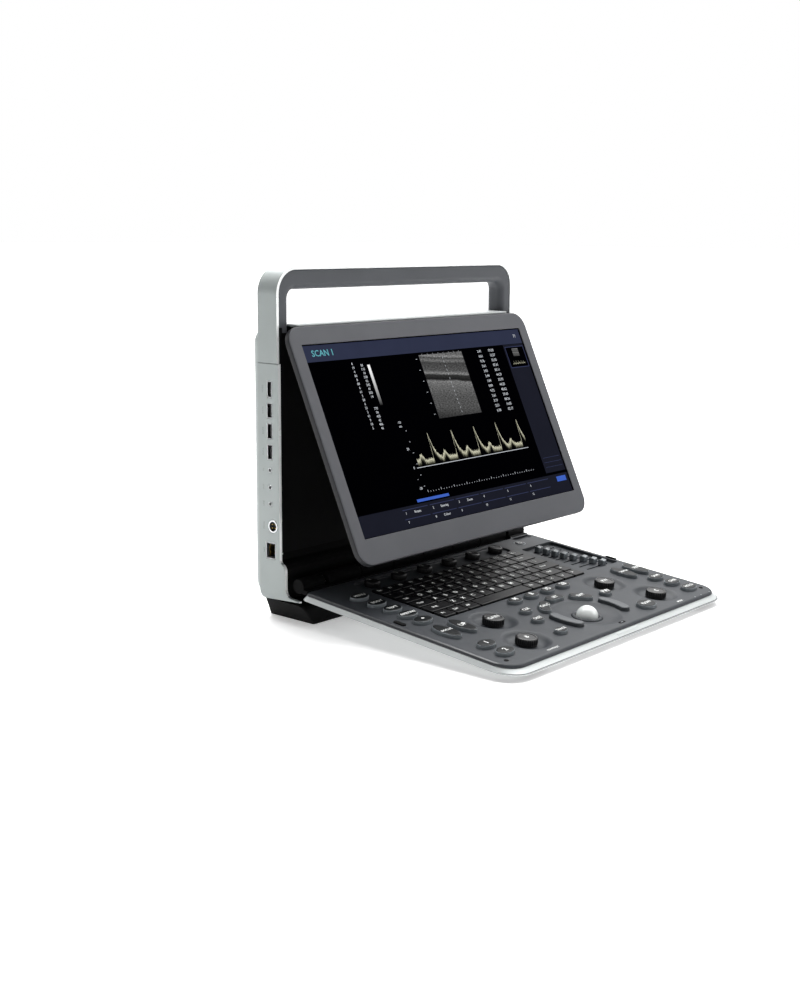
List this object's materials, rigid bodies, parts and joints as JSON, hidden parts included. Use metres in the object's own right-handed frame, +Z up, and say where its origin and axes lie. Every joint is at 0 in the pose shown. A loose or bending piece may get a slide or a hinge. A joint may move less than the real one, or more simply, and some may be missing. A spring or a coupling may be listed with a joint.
{
  "type": "ultrasound scanner",
  "caption": "Portable ultrasound scanner with a carrying handle, a tilting monitor and a fold-up control panel with keyboard, trackball, knobs and sliders.",
  "frame": {"origin": "on the flat bottom of the foot, in the middle of its width, 26 mm behind its front edge", "axes": "+X to the user's right along the width, -Y towards the user, +Z up"},
  "size_m": [0.3734, 0.3368, 0.3457],
  "materials": {
    "silver_shell": "satin silver-grey paint",
    "pale_silver": "satin pale silver paint",
    "grip_grey": "soft dark grey, fine grain",
    "bezel_grey": "fine matte grey",
    "black_plastic": "matte black, fine grain",
    "cover_grey": "satin blue-grey",
    "key_black": "satin black keys with white legends",
    "button_dark": "dark glossy top on a grey translucent skirt",
    "bar_grey": "matte dark grey",
    "ball_white": "polished pale grey",
    "steel": "turned",
    "circuit_board": "green solder mask",
    "screen": "smooth black screen",
    "rubber": "matte rubber"
  },
  "bodies": {
    "main_unit": {"rear_cover": "silver_shell", "front_housing": "black_plastic", "left_side_panel": "silver_shell", "right_side_panel": "silver_shell", "handle_band": "pale_silver", "handle_grip": "grip_grey", "base_foot": "rubber", "main_board": "circuit_board", "power_supply": "black_plastic", "battery_pack": "black_plastic", "fan_housing": "black_plastic", "side_port_block": "black_plastic", "probe_socket_upper": "black_plastic", "probe_socket_lower": "black_plastic", "monitor_hinge_bracket": "steel", "monitor_hinge_rod": "steel", "panel_hinge_barrel": "black_plastic", "panel_hinge_rod": "steel"},
    "cooling_fan": {"fan_rotor": "black_plastic"},
    "monitor": {"monitor_bezel": "bezel_grey", "monitor_back_cover": "black_plastic", "lcd_panel": "screen"},
    "control_panel": {"panel_top_cover": "cover_grey", "panel_base_shell": "pale_silver", "control_board": "circuit_board", "trackball_ring": "bar_grey", "panel_rubber_strip": "rubber"},
    "trackball": {"trackball": "ball_white"},
    "gain_knob_upper_left": {"gain_knob_upper_left": "key_black"},
    "gain_knob_lower_left": {"gain_knob_lower_left": "key_black"},
    "mode_knob_upper_right": {"mode_knob_upper_right": "key_black"},
    "mode_knob_lower_right": {"mode_knob_lower_right": "key_black"},
    "menu_knob_1": {"menu_knob_1": "key_black"},
    "menu_knob_2": {"menu_knob_2": "key_black"},
    "menu_knob_3": {"menu_knob_3": "key_black"},
    "menu_knob_4": {"menu_knob_4": "key_black"},
    "menu_knob_5": {"menu_knob_5": "key_black"},
    "menu_knob_6": {"menu_knob_6": "key_black"},
    "keyboard": {"keyboard": "key_black"},
    "power_button": {"power_button": "bar_grey"},
    "latch_button": {"latch_button": "pale_silver"},
    "left_key_column": {"left_key_column": "button_dark"},
    "left_paddle_keys": {"left_paddle_keys": "button_dark"},
    "left_corner_keys": {"left_corner_keys": "button_dark"},
    "right_paddle_keys": {"right_paddle_keys": "button_dark"},
    "right_key_column": {"right_key_column": "button_dark"},
    "centre_key_row": {"centre_key_row": "button_dark"},
    "upper_arc_keys": {"upper_arc_keys": "button_dark"},
    "left_round_keys": {"left_round_keys": "button_dark"},
    "right_round_keys": {"right_round_keys": "button_dark"},
    "left_select_bar": {"left_select_bar": "bar_grey"},
    "right_select_bar": {"right_select_bar": "bar_grey"},
    "depth_gain_slider_1": {"depth_gain_slider_1": "bar_grey"},
    "depth_gain_slider_2": {"depth_gain_slider_2": "bar_grey"},
    "depth_gain_slider_3": {"depth_gain_slider_3": "bar_grey"},
    "depth_gain_slider_4": {"depth_gain_slider_4": "bar_grey"},
    "depth_gain_slider_5": {"depth_gain_slider_5": "bar_grey"},
    "depth_gain_slider_6": {"depth_gain_slider_6": "bar_grey"},
    "depth_gain_slider_7": {"depth_gain_slider_7": "bar_grey"},
    "depth_gain_slider_8": {"depth_gain_slider_8": "bar_grey"}
  },
  "joints": [
    {"name": "monitor_tilt", "type": "hinge", "parent": "main_unit", "child": "monitor", "pos_m": [0, -0.00174, 0.27405], "axis": [1, 0, 0], "range_deg": [0, 24]},
    {"name": "panel_fold", "type": "hinge", "parent": "main_unit", "child": "control_panel", "pos_m": [0, -0.017, 0.0398], "axis": [-1, 0, 0], "range_deg": [0, 22]},
    {"name": "trackball_roll", "type": "hinge", "parent": "control_panel", "child": "trackball", "pos_m": [0, -0.23159, 0.01342], "axis": [1, 0, 0], "continuous": true},
    {"name": "gain_knob_upper_left_turn", "type": "hinge", "parent": "control_panel", "child": "gain_knob_upper_left", "pos_m": [-0.095, -0.18967, 0.02158], "axis": [0, -0.0934, 0.9956], "continuous": true},
    {"name": "gain_knob_lower_left_turn", "type": "hinge", "parent": "control_panel", "child": "gain_knob_lower_left", "pos_m": [-0.1125, -0.24094, 0.01676], "axis": [0, -0.0934, 0.9956], "continuous": true},
    {"name": "mode_knob_upper_right_turn", "type": "hinge", "parent": "control_panel", "child": "mode_knob_upper_right", "pos_m": [0.095, -0.18967, 0.02158], "axis": [0, -0.0934, 0.9956], "continuous": true},
    {"name": "mode_knob_lower_right_turn", "type": "hinge", "parent": "control_panel", "child": "mode_knob_lower_right", "pos_m": [0.1125, -0.24094, 0.01676], "axis": [0, -0.0934, 0.9956], "continuous": true},
    {"name": "menu_knob_1_turn", "type": "hinge", "parent": "control_panel", "child": "menu_knob_1", "pos_m": [-0.11, -0.04978, 0.0347], "axis": [0, -0.0934, 0.9956], "continuous": true},
    {"name": "menu_knob_2_turn", "type": "hinge", "parent": "control_panel", "child": "menu_knob_2", "pos_m": [-0.0698, -0.04978, 0.0347], "axis": [0, -0.0934, 0.9956], "continuous": true},
    {"name": "menu_knob_3_turn", "type": "hinge", "parent": "control_panel", "child": "menu_knob_3", "pos_m": [-0.0296, -0.04978, 0.0347], "axis": [0, -0.0934, 0.9956], "continuous": true},
    {"name": "menu_knob_4_turn", "type": "hinge", "parent": "control_panel", "child": "menu_knob_4", "pos_m": [0.0106, -0.04978, 0.0347], "axis": [0, -0.0934, 0.9956], "continuous": true},
    {"name": "menu_knob_5_turn", "type": "hinge", "parent": "control_panel", "child": "menu_knob_5", "pos_m": [0.0508, -0.04978, 0.0347], "axis": [0, -0.0934, 0.9956], "continuous": true},
    {"name": "menu_knob_6_turn", "type": "hinge", "parent": "control_panel", "child": "menu_knob_6", "pos_m": [0.091, -0.04978, 0.0347], "axis": [0, -0.0934, 0.9956], "continuous": true},
    {"name": "keyboard_press", "type": "slide", "parent": "control_panel", "child": "keyboard", "axis": [0, 0.0934, -0.9956], "range_m": [0, 0.0012], "stiffness_N_per_m": 2500, "springref_m": -0.001},
    {"name": "power_button_press", "type": "slide", "parent": "control_panel", "child": "power_button", "axis": [0, 0.0934, -0.9956], "range_m": [0, 0.001], "stiffness_N_per_m": 400, "springref_m": -0.0006},
    {"name": "latch_button_press", "type": "slide", "parent": "control_panel", "child": "latch_button", "axis": [0, 0.9956, 0.0934], "range_m": [0, 0.001], "stiffness_N_per_m": 400, "springref_m": -0.0006},
    {"name": "left_key_column_press", "type": "slide", "parent": "control_panel", "child": "left_key_column", "axis": [0, 0.0934, -0.9956], "range_m": [0, 0.001], "stiffness_N_per_m": 400, "springref_m": -0.0006},
    {"name": "left_paddle_keys_press", "type": "slide", "parent": "control_panel", "child": "left_paddle_keys", "axis": [0, 0.0934, -0.9956], "range_m": [0, 0.001], "stiffness_N_per_m": 400, "springref_m": -0.0006},
    {"name": "left_corner_keys_press", "type": "slide", "parent": "control_panel", "child": "left_corner_keys", "axis": [0, 0.0934, -0.9956], "range_m": [0, 0.001], "stiffness_N_per_m": 400, "springref_m": -0.0006},
    {"name": "right_paddle_keys_press", "type": "slide", "parent": "control_panel", "child": "right_paddle_keys", "axis": [0, 0.0934, -0.9956], "range_m": [0, 0.001], "stiffness_N_per_m": 400, "springref_m": -0.0006},
    {"name": "right_key_column_press", "type": "slide", "parent": "control_panel", "child": "right_key_column", "axis": [0, 0.0934, -0.9956], "range_m": [0, 0.001], "stiffness_N_per_m": 400, "springref_m": -0.0006},
    {"name": "centre_key_row_press", "type": "slide", "parent": "control_panel", "child": "centre_key_row", "axis": [0, 0.0934, -0.9956], "range_m": [0, 0.001], "stiffness_N_per_m": 400, "springref_m": -0.0006},
    {"name": "upper_arc_keys_press", "type": "slide", "parent": "control_panel", "child": "upper_arc_keys", "axis": [0, 0.0934, -0.9956], "range_m": [0, 0.001], "stiffness_N_per_m": 400, "springref_m": -0.0006},
    {"name": "left_round_keys_press", "type": "slide", "parent": "control_panel", "child": "left_round_keys", "axis": [0, 0.0934, -0.9956], "range_m": [0, 0.001], "stiffness_N_per_m": 400, "springref_m": -0.0006},
    {"name": "right_round_keys_press", "type": "slide", "parent": "control_panel", "child": "right_round_keys", "axis": [0, 0.0934, -0.9956], "range_m": [0, 0.001], "stiffness_N_per_m": 400, "springref_m": -0.0006},
    {"name": "left_select_bar_press", "type": "slide", "parent": "control_panel", "child": "left_select_bar", "axis": [0, 0.0934, -0.9956], "range_m": [0, 0.001], "stiffness_N_per_m": 400, "springref_m": -0.0006},
    {"name": "right_select_bar_press", "type": "slide", "parent": "control_panel", "child": "right_select_bar", "axis": [0, 0.0934, -0.9956], "range_m": [0, 0.001], "stiffness_N_per_m": 400, "springref_m": -0.0006},
    {"name": "depth_gain_slider_1_slide", "type": "slide", "parent": "control_panel", "child": "depth_gain_slider_1", "axis": [1, 0, 0], "range_m": [-0.006, 0.027]},
    {"name": "depth_gain_slider_2_slide", "type": "slide", "parent": "control_panel", "child": "depth_gain_slider_2", "axis": [1, 0, 0], "range_m": [-0.007, 0.026]},
    {"name": "depth_gain_slider_3_slide", "type": "slide", "parent": "control_panel", "child": "depth_gain_slider_3", "axis": [1, 0, 0], "range_m": [-0.009, 0.024]},
    {"name": "depth_gain_slider_4_slide", "type": "slide", "parent": "control_panel", "child": "depth_gain_slider_4", "axis": [1, 0, 0], "range_m": [-0.011, 0.022]},
    {"name": "depth_gain_slider_5_slide", "type": "slide", "parent": "control_panel", "child": "depth_gain_slider_5", "axis": [1, 0, 0], "range_m": [-0.015, 0.018]},
    {"name": "depth_gain_slider_6_slide", "type": "slide", "parent": "control_panel", "child": "depth_gain_slider_6", "axis": [1, 0, 0], "range_m": [-0.02, 0.013]},
    {"name": "depth_gain_slider_7_slide", "type": "slide", "parent": "control_panel", "child": "depth_gain_slider_7", "axis": [1, 0, 0], "range_m": [-0.023, 0.01]},
    {"name": "depth_gain_slider_8_slide", "type": "slide", "parent": "control_panel", "child": "depth_gain_slider_8", "axis": [1, 0, 0], "range_m": [-0.026, 0.007]},
    {"name": "fan_spin", "type": "hinge", "parent": "main_unit", "child": "cooling_fan", "pos_m": [0.1, 0.0414, 0.225], "axis": [0, 1, 0], "continuous": true}
  ]
}
